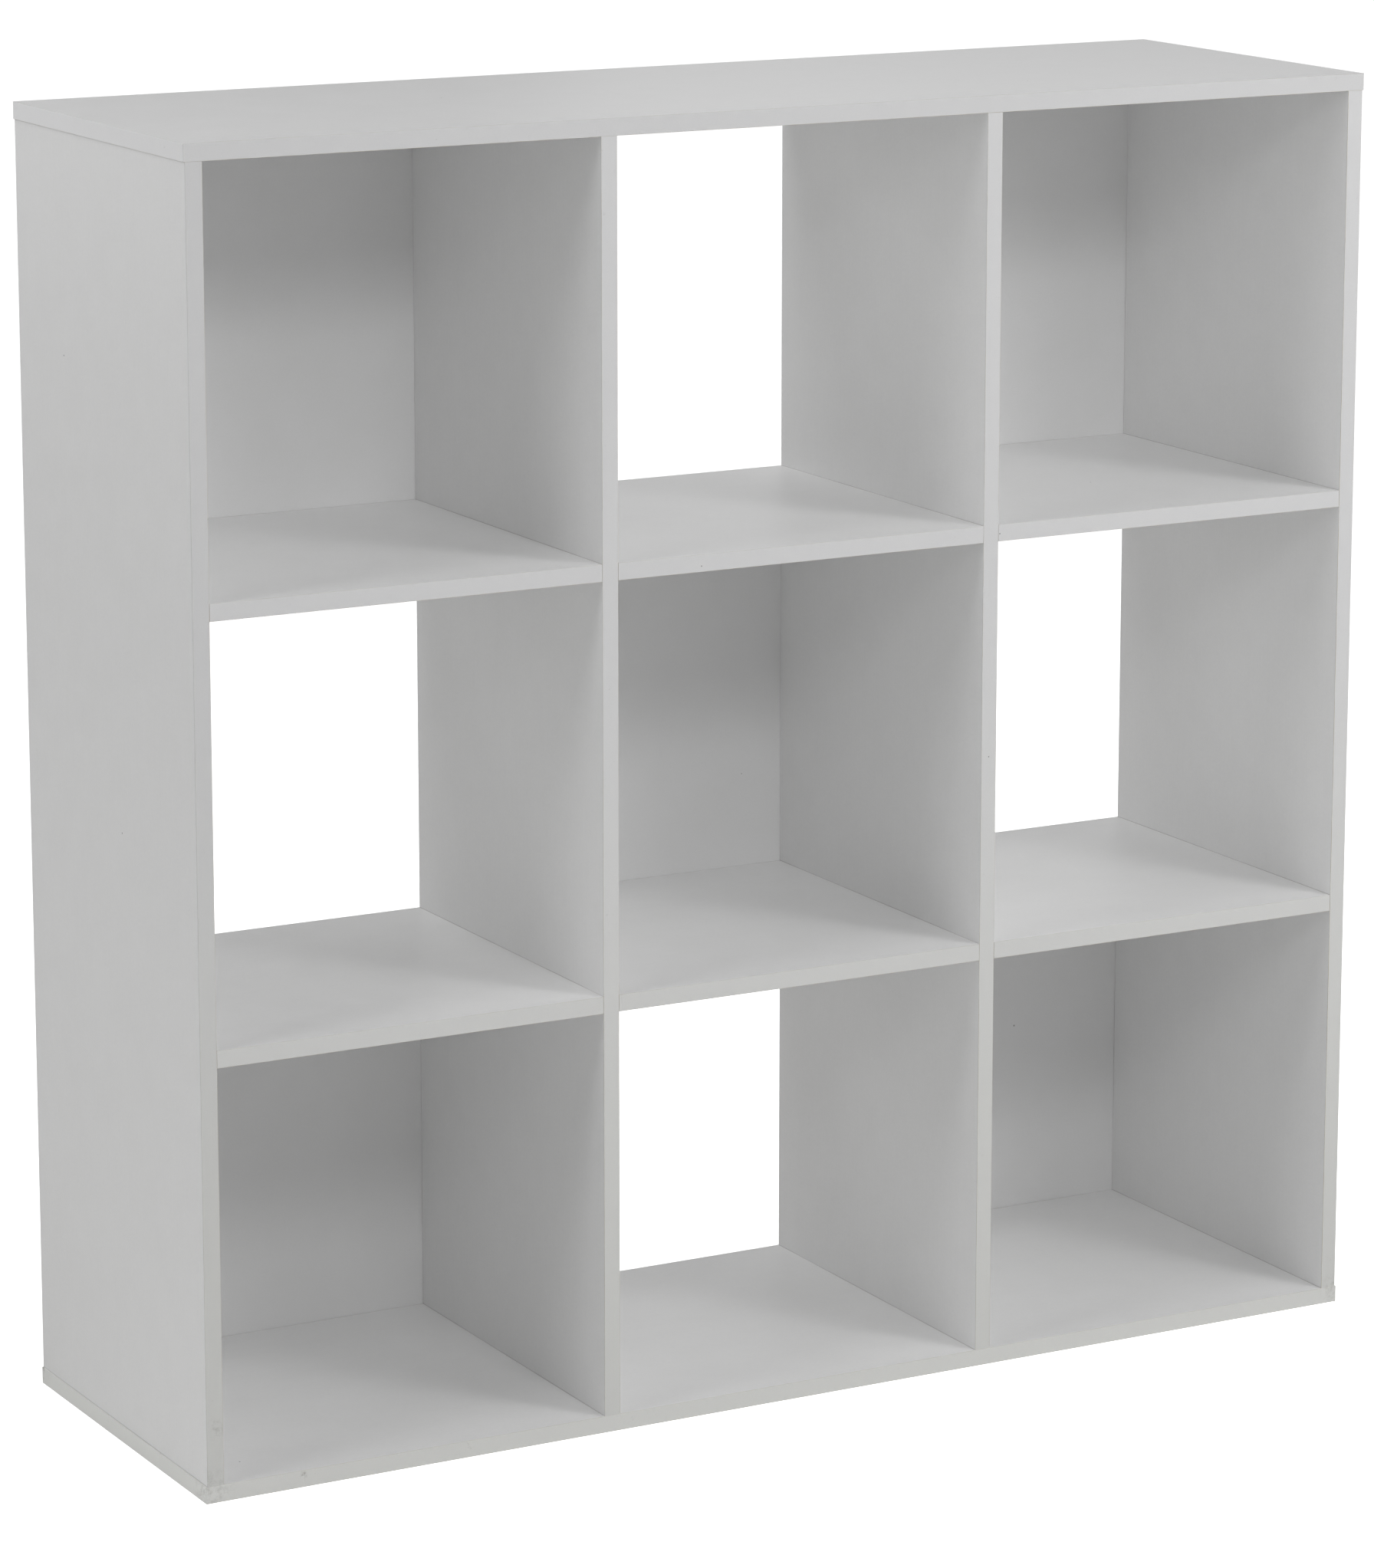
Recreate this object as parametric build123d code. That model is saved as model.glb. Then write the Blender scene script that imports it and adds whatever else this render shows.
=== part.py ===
"""Cube storage unit with nine equal cells, three across and three high.

The boards are chipboard with a white melamine face and thin edging on the cut edges
that show. The top and bottom boards run past the ends of four uprights, and six short
shelves stand between the uprights. Dowels line up every joint. Cam locks draw the top
board and the shelves to the uprights, and screws come up through the bottom board.
Thin hardboard backs, nailed to the rear edges, close five cells in a chequer, leave
four cells open right through, and keep the frame square. Two steel angles under the
rear of the top board take wall screws.

Millimetres. The origin is at the centre of the base, +X to the right, +Y to the back
and +Z up.
"""

import os

from build123d import *

# Layout: columns from left to right, levels from the floor up.
COLUMNS = ("left", "middle", "right")
LEVELS = ("lower", "middle", "upper")
UPRIGHTS = ("left_side", "left_divider", "right_divider", "right_side")
SHELF_LEVELS = ("lower", "upper")
BACKED_CELLS = {
    "upper_left": (0, 2),
    "upper_right": (2, 2),
    "centre": (1, 1),
    "lower_left": (0, 0),
    "lower_right": (2, 0),
}

# Boards.
cell_width = 288.0
cell_height = 288.0
board_thickness = 12.0
board_depth = 286.0  # front edging included
end_overhang = 1.0  # top and bottom boards past each side
edging_thickness = 0.4
edging_arris = 0.15  # softening of the edging's long arrises
panel_skin = 3.0  # board left beyond a blind hole in its face
blind_gap = 0.5  # room past the end of a fitting in its hole

# Backs and the nails that hold them.
back_thickness = 3.0
back_gap = 0.5  # from a back's edge to the middle of the board it lies on
nails_per_edge = 2
nail_corner_inset = 48.0  # from a cell's corner to the nearest nail
nail_diameter = 1.4
nail_length = 16.0
nail_head_diameter = 3.2
nail_head_thickness = 0.5
nail_fit = 0.05

# Cam locks, which turn in pockets bored in a board's face.
cam_inset = 50.0  # from the front or rear edge to a cam or screw in an upright's end
cam_setback = 24.0  # from a board's end to the cam's centre
cam_diameter = 14.6
cam_fit = 0.2
cam_sink = 0.2  # face of the cam below the face of the board
cam_rim = 0.4  # depth of the cam past the bolt's head
slot_length = 8.0  # screwdriver slot in the cam's face
slot_width = 1.6
slot_depth = 1.4

# Cam bolts. Their heads stop in the middle of the cams.
bolt_shank_diameter = 5.8
bolt_shank_fit = 0.6
bolt_neck_diameter = 3.4
bolt_neck_margin = 0.4  # neck showing outside the cam's pocket
bolt_head_diameter = 6.0
bolt_head_length = 3.2
bolt_head_fit = 0.3
thread_diameter = 5.0
thread_fit = 0.05

# Push-in caps over the cams of the uprights.
cap_diameter = 17.0
cap_thickness = 0.6
cap_arris = 0.25
cap_blade_fit = 0.2

# Countersunk screws that come up through the bottom board.
base_screw_diameter = 4.0
base_screw_head_diameter = 7.6
base_screw_reach = 28.0  # length in the upright
base_screw_hole_fit = 0.25
base_screw_sink = 0.4

# Wooden dowels.
dowel_diameter = 6.0
dowel_fit = 0.1
dowel_in_end = 16.0  # length in the board whose end meets the joint
shelf_dowel_inset = 60.0  # from a shelf's front or rear edge

# Wall angles under the top board.
angle_spacing = 200.0
angle_leg = 20.0
angle_width = 16.0
angle_thickness = 1.5
angle_bend_radius = 1.0
angle_corner_radius = 3.0
angle_hole_reach = 12.0  # from the angle's corner to its holes
wall_hole_diameter = 5.0
screw_hole_diameter = 4.0
screw_diameter = 3.5
screw_head_diameter = 6.6
screw_head_thickness = 1.8

# Sides of the fittings that repeat, and of their holes. Flats keep so many of them light.
CAM_SIDES = 12
PIN_SIDES = 8
NAIL_SIDES = 4
COUNTERSINK_TAPER = 45.0

# Values that follow from those above.
column_pitch = cell_width + board_thickness
level_pitch = cell_height + board_thickness
frame_width = len(COLUMNS) * column_pitch + board_thickness
overall_width = frame_width + 2 * end_overhang
overall_height = len(LEVELS) * level_pitch + board_thickness
overall_depth = board_depth + back_thickness + nail_head_thickness
front_y = -overall_depth / 2
core_front_y = front_y + edging_thickness
rear_y = front_y + board_depth
back_rear_y = rear_y + back_thickness
middle_y = (front_y + rear_y) / 2
top_underside_z = overall_height - board_thickness
end_stations = (front_y + cam_inset, rear_y - cam_inset)
shelf_dowel_stations = (front_y + shelf_dowel_inset, rear_y - shelf_dowel_inset)
blind_depth = board_thickness - panel_skin
blind_length = blind_depth - blind_gap
cam_height = board_thickness / 2 + bolt_head_diameter / 2 + cam_rim - cam_sink
cam_pocket_diameter = cam_diameter + 2 * cam_fit
cam_pocket_depth = cam_sink + cam_height + blind_gap
bolt_bore_diameter = bolt_shank_diameter + 2 * bolt_shank_fit
dowel_hole_diameter = dowel_diameter + 2 * dowel_fit
thread_hole_diameter = thread_diameter + 2 * thread_fit
shoulder_reach = cam_setback - cam_pocket_diameter / 2 - bolt_neck_margin
base_head_height = (base_screw_head_diameter - base_screw_diameter) / 2

ALONG_Z = (Align.CENTER, Align.CENTER, Align.MIN)
LEFT, RIGHT = (-1, 0, 0), (1, 0, 0)
FORWARD, BACKWARD = (0, -1, 0), (0, 1, 0)
DOWN, UP = (0, 0, -1), (0, 0, 1)


# Places.
def upright_x(index):
    """Middle of an upright's thickness, counted from the left."""
    return (index - len(COLUMNS) / 2) * column_pitch


def board_z(index):
    """Middle of a level board's thickness, counted from the bottom board."""
    return board_thickness / 2 + index * level_pitch


def cell_bounds(column, level):
    """Left, right, bottom and top of a cell's opening."""
    left = upright_x(column) + board_thickness / 2
    bottom = board_z(level) + board_thickness / 2
    return left, left + cell_width, bottom, bottom + cell_height


def spread(low, high):
    """Nail places along one edge of a cell, even between the two corner insets."""
    first, last = low + nail_corner_inset, high - nail_corner_inset
    step = (last - first) / (nails_per_edge - 1)
    return [first + step * count for count in range(nails_per_edge)]


def nail_points():
    """X and Z of every nail: halfway between a cell's edge and its back's edge."""
    reach = (board_thickness / 2 - back_gap) / 2
    points = []
    for column, level in BACKED_CELLS.values():
        left, right, bottom, top = cell_bounds(column, level)
        for x in spread(left, right):
            points += [(x, bottom - reach), (x, top + reach)]
        for z in spread(bottom, top):
            points += [(left - reach, z), (right + reach, z)]
    return points


def angle_places():
    """X of the two wall angles."""
    return (-angle_spacing / 2, angle_spacing / 2)


# Shapes that the boards and fittings share.
def slab(x0, x1, y0, y1, z0, z1):
    """A block between two opposite corners."""
    centre = Pos((x0 + x1) / 2, (y0 + y1) / 2, (z0 + z1) / 2)
    return centre * Box(x1 - x0, y1 - y0, z1 - z0)


def opposite(direction):
    return tuple(-value for value in direction)


def rod(diameter, low, high, sides=PIN_SIDES):
    """A straight rod about Z, measured across its corners."""
    flats = RegularPolygon(diameter / 2, sides)
    return Pos(0, 0, low) * extrude(flats, high - low)


def stepped_rod(steps):
    """Rods end to end about Z, each given as its diameter and upper end."""
    low = steps[0]
    pieces = []
    for diameter, high in steps[1:]:
        pieces.append(rod(diameter, low, high))
        low = high
    return pieces[0] + pieces[1:]


def bore(start, direction, diameter, depth, sides=PIN_SIDES):
    """A hole's volume, from its mouth along a direction."""
    return Plane(origin=start, z_dir=direction) * rod(diameter, 0, depth, sides)


def round_bore(start, direction, diameter, depth):
    return Plane(origin=start, z_dir=direction) * Cylinder(diameter / 2, depth, align=ALONG_Z)


def group(shape, places):
    """Copies of one shape as separate solids of one node."""
    return Compound(children=[place * shape for place in places])


def nail_holes(x0, x1, z0, z1, mouth_y, depth):
    """Nail holes that open on a rear face within a rectangle of X and Z."""
    size = nail_diameter + 2 * nail_fit
    return [
        bore((x, mouth_y, z), FORWARD, size, depth, NAIL_SIDES)
        for x, z in nail_points()
        if x0 < x < x1 and z0 < z < z1
    ]


def board(x0, x1, z0, z1, cuts):
    """A chipboard core behind its front edging, with its nail holes and other cuts."""
    depth = nail_length - back_thickness + blind_gap
    holes = nail_holes(x0, x1, z0, z1, rear_y, depth)
    return slab(x0, x1, core_front_y, rear_y, z0, z1) - (cuts + holes)


def edging(x0, x1, y0, y1, z0, z1, outward, along):
    """A strip of edging with both long outer arrises softened."""
    strip = slab(x0, x1, y0, y1, z0, z1)
    outer = strip.faces().filter_by(lambda face: face.normal_at().dot(Vector(outward)) > 0.99)
    return chamfer(outer.edges().filter_by(along), edging_arris)


# Joints: the holes that a board's end needs, and those in the face that it meets.
def cam_cuts(end, inward, face_point, opening):
    """A bolt bore in a board's end and the cam pocket that it runs into."""
    pocket = bore(face_point, opposite(opening), cam_pocket_diameter, cam_pocket_depth, CAM_SIDES)
    return [pocket, bore(end, inward, bolt_bore_diameter, cam_setback)]


def dowel_cut(end, inward):
    """A dowel hole in a board's end."""
    return bore(end, inward, dowel_hole_diameter, dowel_in_end + blind_gap)


def blind_cuts(face, into, bolts, dowels):
    """Blind holes in a board's face for cam bolts and dowels, at the given depths."""
    cuts = [bore(face(y), into, thread_hole_diameter, blind_depth) for y in bolts]
    return cuts + [bore(face(y), into, dowel_hole_diameter, blind_depth) for y in dowels]


def through_cuts(face, into):
    """Holes right through a divider, shared by the shelves on both its sides."""
    cuts = [bore(face(middle_y), into, bolt_bore_diameter, board_thickness)]
    for y in shelf_dowel_stations:
        cuts.append(bore(face(y), into, dowel_hole_diameter, board_thickness))
    return cuts


def base_screw_cuts(x, y):
    """A countersunk clearance hole through the bottom board."""
    size = base_screw_diameter + 2 * base_screw_hole_fit
    sink = base_screw_sink + base_head_height
    wide = base_screw_head_diameter + 2 * (base_screw_hole_fit + base_screw_sink)
    cone = extrude(RegularPolygon(wide / 2, PIN_SIDES), sink, taper=COUNTERSINK_TAPER)
    return [bore((x, y, 0), UP, size, board_thickness), Pos(x, y, 0) * cone]


# Boards.
def bottom_panel():
    """The bottom board: screws and dowels come up through it into the uprights."""
    half = overall_width / 2 - edging_thickness
    cuts = []
    for index in range(len(UPRIGHTS)):
        x = upright_x(index)
        cuts += blind_cuts(lambda y: (x, y, board_thickness), DOWN, [], [middle_y])
        for y in end_stations:
            cuts += base_screw_cuts(x, y)
    return board(-half, half, 0, board_thickness, cuts)


def top_panel():
    """The top board, bored underneath for the uprights and the wall angles' screws."""
    half = overall_width / 2 - edging_thickness
    y = rear_y - angle_hole_reach
    size = screw_diameter + 2 * thread_fit
    cuts = [bore((x, y, top_underside_z), UP, size, blind_depth) for x in angle_places()]
    for index in range(len(UPRIGHTS)):
        x = upright_x(index)
        cuts += blind_cuts(lambda y: (x, y, top_underside_z), UP, end_stations, [middle_y])
    return board(-half, half, top_underside_z, overall_height, cuts)


def upright_panel(index):
    """A side or divider: cams at the top, screws at the bottom, and shelf joints."""
    x = upright_x(index)
    left_x, right_x = x - board_thickness / 2, x + board_thickness / 2
    low, high = board_thickness, top_underside_z
    cuts = [dowel_cut((x, middle_y, low), UP), dowel_cut((x, middle_y, high), DOWN)]
    pilot = base_screw_diameter + 2 * thread_fit
    for y in end_stations:
        cuts += cam_cuts((x, y, high), DOWN, (right_x, y, high - cam_setback), RIGHT)
        cuts.append(bore((x, y, low), UP, pilot, base_screw_reach + blind_gap))
    for level in range(1, len(LEVELS)):
        z = board_z(level)
        if index == 0:
            cuts += blind_cuts(lambda y: (right_x, y, z), LEFT, [middle_y], shelf_dowel_stations)
        elif index == len(COLUMNS):
            cuts += blind_cuts(lambda y: (left_x, y, z), RIGHT, [middle_y], shelf_dowel_stations)
        else:
            cuts += through_cuts(lambda y: (right_x, y, z), LEFT)
    return board(left_x, right_x, low, high, cuts)


def shelf_ends(column):
    """X of a shelf's two ends, each with the way into the shelf from there."""
    left, right = cell_bounds(column, 0)[:2]
    return ((left, 1, RIGHT), (right, -1, LEFT))


def shelf_panel(column, level):
    """A short shelf, with a cam at each end that opens on its underside."""
    left, right = cell_bounds(column, 0)[:2]
    z = board_z(level)
    low = z - board_thickness / 2
    cuts = []
    for end_x, way, inward in shelf_ends(column):
        cam_x = end_x + way * cam_setback
        cuts += cam_cuts((end_x, middle_y, z), inward, (cam_x, middle_y, low), DOWN)
        cuts += [dowel_cut((end_x, y, z), inward) for y in shelf_dowel_stations]
    return board(left, right, low, low + board_thickness, cuts)


def back_panel(column, level):
    """A hardboard back on the rear edges of the boards around one cell."""
    lap = board_thickness / 2 - back_gap
    left, right, bottom, top = cell_bounds(column, level)
    x0, x1, z0, z1 = left - lap, right + lap, bottom - lap, top + lap
    sheet = slab(x0, x1, rear_y, back_rear_y, z0, z1)
    return sheet - nail_holes(x0, x1, z0, z1, back_rear_y, back_thickness)


# Edging.
def level_edging(z0):
    """Front strip of the top or bottom board, which covers the end strips' edges."""
    half = overall_width / 2
    z1 = z0 + board_thickness
    return edging(-half, half, front_y, core_front_y, z0, z1, FORWARD, Axis.X)


def end_edging(z0):
    """The two end strips of the top or bottom board."""
    half = overall_width / 2
    core = half - edging_thickness
    z1 = z0 + board_thickness
    left = edging(-half, -core, core_front_y, rear_y, z0, z1, LEFT, Axis.Y)
    right = edging(core, half, core_front_y, rear_y, z0, z1, RIGHT, Axis.Y)
    return Compound(children=[left, right])


def upright_edging(index):
    x0 = upright_x(index) - board_thickness / 2
    x1 = x0 + board_thickness
    z0, z1 = board_thickness, top_underside_z
    return edging(x0, x1, front_y, core_front_y, z0, z1, FORWARD, Axis.Z)


def shelf_edging(column, level):
    x0, x1 = cell_bounds(column, 0)[:2]
    z0 = board_z(level) - board_thickness / 2
    z1 = z0 + board_thickness
    return edging(x0, x1, front_y, core_front_y, z0, z1, FORWARD, Axis.X)


# Fittings. Each is drawn once about Z and then placed at every joint that takes it.
def cam_lock():
    """A cam whose face looks down at Z = 0 and which takes its bolt from +X."""
    outer = cam_diameter / 2
    deep = cam_sink + cam_height
    axis_z = board_thickness / 2
    body = rod(cam_diameter, cam_sink, deep, CAM_SIDES)
    head = bolt_head_diameter / 2 + bolt_head_fit
    head_end = bolt_head_length / 2 + bolt_head_fit
    head_way = slab(-head_end, head_end, -head, head, axis_z - head, deep)
    neck = bolt_neck_diameter / 2 + bolt_head_fit
    neck_way = slab(0, outer, -neck, neck, axis_z - neck, deep)
    half, side = slot_length / 2, slot_width / 2
    slot = slab(-half, half, -side, side, cam_sink, cam_sink + slot_depth)
    return body - [head_way, neck_way, slot]


def cam_cap():
    """A thin cap proud of the board, with a blade that grips the cam's slot."""
    rim = rod(cap_diameter, -cap_thickness, 0, CAM_SIDES)
    rim = chamfer(rim.faces().sort_by(Axis.Z)[0].edges(), cap_arris)
    half = slot_length / 2 - cap_blade_fit
    side = slot_width / 2 - cap_blade_fit
    return rim + slab(-half, half, -side, side, 0, cam_sink + slot_depth - cap_blade_fit)


def bolt_tip(start):
    """Steps of a cam bolt from its shank to the end of its head, from a height."""
    head_start = start + cam_setback - bolt_head_length / 2
    return [
        (bolt_shank_diameter, start + shoulder_reach),
        (bolt_neck_diameter, head_start),
        (bolt_head_diameter, head_start + bolt_head_length),
    ]


def cam_bolt():
    """A bolt that screws into a board's face at Z = 0, with its head at +Z."""
    return stepped_rod([-blind_length, (thread_diameter, 0)] + bolt_tip(0))


def through_bolt():
    """A bolt with a head at both ends, centred on a divider's middle."""
    half = stepped_rod([0] + bolt_tip(board_thickness / 2))
    return half + mirror(half, Plane.XY)


def base_screw():
    """A countersunk screw that points up from the underside of the bottom board."""
    head = extrude(
        RegularPolygon(base_screw_head_diameter / 2, PIN_SIDES), base_head_height,
        taper=COUNTERSINK_TAPER,
    )
    shank = rod(base_screw_diameter, 0, board_thickness + base_screw_reach - base_screw_sink)
    return Pos(0, 0, base_screw_sink) * (head + shank)


def nail():
    """A nail that points down from the underside of its head at Z = 0."""
    head = rod(nail_head_diameter, 0, nail_head_thickness)
    return head + rod(nail_diameter, -nail_length, 0, NAIL_SIDES)


def angle_screw():
    """A pan head screw that points up from the underside of its head at Z = 0."""
    head = rod(screw_head_diameter, -screw_head_thickness, 0)
    head = chamfer(head.faces().sort_by(Axis.Z)[0].edges(), screw_head_thickness / 3)
    return head + rod(screw_diameter, 0, angle_thickness + blind_length)


def wall_angle(x):
    """A bent steel angle: one leg under the top board, one flat with the rear edges."""
    inner = angle_thickness
    outline = make_face(Polyline(
        (0, 0), (angle_leg, 0), (angle_leg, inner), (inner, inner), (inner, angle_leg), (0, angle_leg),
        close=True,
    ))
    corners = outline.vertices().sort_by_distance((0, 0))
    outline = fillet(corners[0], angle_bend_radius + inner)
    outline = fillet(outline.vertices().sort_by_distance((inner, inner))[0], angle_bend_radius)
    corner = Plane(origin=(0, rear_y, top_underside_z), x_dir=FORWARD, z_dir=RIGHT)
    body = extrude(corner * outline, angle_width / 2, both=True)
    tips = body.edges().filter_by(Axis.Z).group_by(Axis.Y)[0]
    tips += body.edges().filter_by(Axis.Y).group_by(Axis.Z)[0]
    body = fillet(tips, angle_corner_radius)
    screw_mouth = (0, rear_y - angle_hole_reach, top_underside_z - inner)
    wall_mouth = (0, rear_y - inner, top_underside_z - angle_hole_reach)
    screw_hole = round_bore(screw_mouth, UP, screw_hole_diameter, inner)
    wall_hole = round_bore(wall_mouth, BACKWARD, wall_hole_diameter, inner)
    return Pos(x, 0, 0) * (body - [screw_hole, wall_hole])


# Where the fittings go.
def shelf_positions():
    """Every shelf as its column and level."""
    return [(column, level) for level in range(1, len(LEVELS)) for column in range(len(COLUMNS))]


def shelf_cam_places():
    """Under both ends of every shelf."""
    places = []
    for column, level in shelf_positions():
        low = board_z(level) - board_thickness / 2
        for end_x, way, inward in shelf_ends(column):
            spot = (end_x + way * cam_setback, middle_y, low)
            places.append(Plane(origin=spot, x_dir=opposite(inward), z_dir=UP))
    return places


def upright_cam_places():
    """On the right face of every upright, below the top board."""
    places = []
    for index in range(len(UPRIGHTS)):
        x = upright_x(index) + board_thickness / 2
        for y in end_stations:
            spot = (x, y, top_underside_z - cam_setback)
            places.append(Plane(origin=spot, x_dir=UP, z_dir=LEFT))
    return places


def upright_top_places(stations):
    """Under the top board, pointing down into the uprights."""
    z = top_underside_z
    xs = [upright_x(index) for index in range(len(UPRIGHTS))]
    return [Plane(origin=(x, y, z), z_dir=DOWN) for x in xs for y in stations]


def upright_base_places(z, stations):
    """In line with the uprights at a height, pointing up."""
    xs = [upright_x(index) for index in range(len(UPRIGHTS))]
    return [Plane(origin=(x, y, z), z_dir=UP) for x in xs for y in stations]


def side_places(stations):
    """On the sides' inner faces at the shelves, pointing into the shelves."""
    places = []
    inner_x = frame_width / 2 - board_thickness
    for level in range(1, len(LEVELS)):
        for x, into in ((-inner_x, RIGHT), (inner_x, LEFT)):
            for y in stations:
                places.append(Plane(origin=(x, y, board_z(level)), z_dir=into))
    return places


def divider_places(stations):
    """At the dividers' middles, level with the shelves, along X."""
    places = []
    for level in range(1, len(LEVELS)):
        for index in range(1, len(COLUMNS)):
            for y in stations:
                places.append(Plane(origin=(upright_x(index), y, board_z(level)), z_dir=RIGHT))
    return places


def nail_places():
    """On the rear faces of the backs."""
    return [Plane(origin=(x, back_rear_y, z), z_dir=BACKWARD) for x, z in nail_points()]


def angle_screw_places():
    """Under the top board, up through the wall angles."""
    y = rear_y - angle_hole_reach
    z = top_underside_z - angle_thickness
    return [Plane(origin=(x, y, z), z_dir=UP) for x in angle_places()]


# Nodes.
def board_nodes():
    nodes = {"bottom_panel": bottom_panel(), "top_panel": top_panel()}
    for index, name in enumerate(UPRIGHTS):
        panel_name = name + "_panel" if name.endswith("side") else name
        nodes[panel_name] = upright_panel(index)
    for column, level in shelf_positions():
        nodes["shelf_" + SHELF_LEVELS[level - 1] + "_" + COLUMNS[column]] = shelf_panel(column, level)
    for name, (column, level) in BACKED_CELLS.items():
        nodes["back_" + name] = back_panel(column, level)
    return nodes


def edging_nodes():
    nodes = {
        "bottom_front_edging": level_edging(0),
        "bottom_end_edging": end_edging(0),
        "top_front_edging": level_edging(top_underside_z),
        "top_end_edging": end_edging(top_underside_z),
    }
    for index, name in enumerate(UPRIGHTS):
        nodes[name + "_edging"] = upright_edging(index)
    for column, level in shelf_positions():
        name = "shelf_" + SHELF_LEVELS[level - 1] + "_" + COLUMNS[column] + "_edging"
        nodes[name] = shelf_edging(column, level)
    return nodes


def fitting_nodes():
    blind_dowel = rod(dowel_diameter, -blind_length, dowel_in_end)
    divider_reach = board_thickness / 2 + dowel_in_end
    long_dowel = rod(dowel_diameter, -divider_reach, divider_reach)
    upright_dowel_places = upright_top_places([middle_y])
    upright_dowel_places += upright_base_places(board_thickness, [middle_y])
    angles = [wall_angle(x) for x in angle_places()]
    return {
        "shelf_cam_locks": group(cam_lock(), shelf_cam_places()),
        "upright_cam_locks": group(cam_lock(), upright_cam_places()),
        "cam_caps": group(cam_cap(), upright_cam_places()),
        "top_cam_bolts": group(cam_bolt(), upright_top_places(end_stations)),
        "side_cam_bolts": group(cam_bolt(), side_places([middle_y])),
        "divider_cam_bolts": group(through_bolt(), divider_places([middle_y])),
        "base_screws": group(base_screw(), upright_base_places(0, end_stations)),
        "upright_dowels": group(blind_dowel, upright_dowel_places),
        "side_dowels": group(blind_dowel, side_places(shelf_dowel_stations)),
        "divider_dowels": group(long_dowel, divider_places(shelf_dowel_stations)),
        "back_nails": group(nail(), nail_places()),
        "wall_angles": Compound(children=angles),
        "wall_angle_screws": group(angle_screw(), angle_screw_places()),
    }


def main():
    os.makedirs("parts", exist_ok=True)
    nodes = {**board_nodes(), **edging_nodes(), **fitting_nodes()}
    for name, shape in nodes.items():
        export_step(shape, "parts/" + name + ".step")


main()
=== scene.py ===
"""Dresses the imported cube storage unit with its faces, edging, backs and fittings."""

import math
import random

import bmesh
import bpy
from bpy.props import FloatProperty, FloatVectorProperty, IntProperty, PointerProperty
from mathutils import Matrix, Vector, noise


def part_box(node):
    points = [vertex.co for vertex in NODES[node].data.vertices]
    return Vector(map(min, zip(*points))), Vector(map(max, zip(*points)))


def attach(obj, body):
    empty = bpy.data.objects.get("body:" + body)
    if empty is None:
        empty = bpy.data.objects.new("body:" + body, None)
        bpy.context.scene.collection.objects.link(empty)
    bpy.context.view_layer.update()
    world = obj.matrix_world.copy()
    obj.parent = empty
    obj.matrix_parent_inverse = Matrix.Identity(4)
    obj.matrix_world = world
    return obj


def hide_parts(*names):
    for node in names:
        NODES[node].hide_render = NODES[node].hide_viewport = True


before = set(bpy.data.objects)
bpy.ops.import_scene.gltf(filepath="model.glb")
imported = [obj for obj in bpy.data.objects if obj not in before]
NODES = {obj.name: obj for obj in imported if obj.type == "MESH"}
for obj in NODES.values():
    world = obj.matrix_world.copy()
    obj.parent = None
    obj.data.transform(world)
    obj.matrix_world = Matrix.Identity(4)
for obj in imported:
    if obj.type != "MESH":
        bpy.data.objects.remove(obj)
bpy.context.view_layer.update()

bl_info = {
    "name": "Cube Storage Unit",
    "version": (1, 0, 0),
    "blender": (4, 5, 0),
    "location": "View3D > Sidebar > Cube Unit",
    "description": "Dresses a packed cube storage unit and sets it in a studio",
    "category": "Object",
}

MM = 0.001
SHELVES = [name for name in NODES if name.startswith("shelf_") and name.endswith(("left", "middle", "right"))]
UPRIGHTS = ["left_side_panel", "left_divider", "right_divider", "right_side_panel"]
LEVEL_BOARDS = ["bottom_panel", "top_panel"] + SHELVES
BACKS = [name for name in NODES if name.startswith("back_") and name != "back_nails"]


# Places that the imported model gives.
def centre(node):
    low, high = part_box(node)
    return (low + high) / 2


LEFT_X = centre("left_side_panel").x
FLOOR_BOARD_Z = centre("bottom_panel").z
COLUMN_PITCH = centre("left_divider").x - LEFT_X
LEVEL_PITCH = centre("shelf_lower_left").z - FLOOR_BOARD_Z
HALF_BOARD = FLOOR_BOARD_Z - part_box("bottom_panel")[0].z
REAR_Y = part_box("top_panel")[1].y
BACK_REAR_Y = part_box("back_centre")[1].y
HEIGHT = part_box("top_panel")[1].z
HALF_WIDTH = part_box("top_front_edging")[1].x
# Vertices nearer to each other than this belong to the same fitting.
FITTING_SPAN = 30 * MM
SCREW_SPAN = 60 * MM


def clumps(node, span):
    """Middles of the separate fittings in one node, told apart by their distance."""
    middles = []
    for vertex in NODES[node].data.vertices:
        for group in middles:
            if (group[0] - vertex.co).length < span:
                group.append(vertex.co.copy())
                break
        else:
            middles.append([vertex.co.copy()])
    found = []
    for group in middles:
        low = Vector([min(point[axis] for point in group) for axis in range(3)])
        high = Vector([max(point[axis] for point in group) for axis in range(3)])
        found.append((low, high))
    return found


# Sizes and colours that a user would change.
class BoardFinish(bpy.types.PropertyGroup):
    face: FloatVectorProperty(
        name="Face", description="Colour of the white melamine face", subtype="COLOR",
        size=3, min=0, max=1, default=(0.881, 0.881, 0.880),
    )
    sheen: FloatProperty(
        name="Roughness", description="Roughness of the satin face", min=0, max=1, default=0.42,
    )
    skin: FloatProperty(
        name="Skin", description="Thickness of the melamine on the board", unit="LENGTH", default=0.15 * MM,
    )
    chips: FloatVectorProperty(
        name="Chipboard", description="Colour of the pressed wood inside the board", subtype="COLOR",
        size=3, min=0, max=1, default=(0.47, 0.33, 0.20),
    )
    # Painted shade: how dark the painted shadow line along a joint is.
    joint_shade: FloatProperty(
        name="Joint Shade", description="How dark the fine line along a joint is", min=0, max=1, default=0.42,
    )


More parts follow.
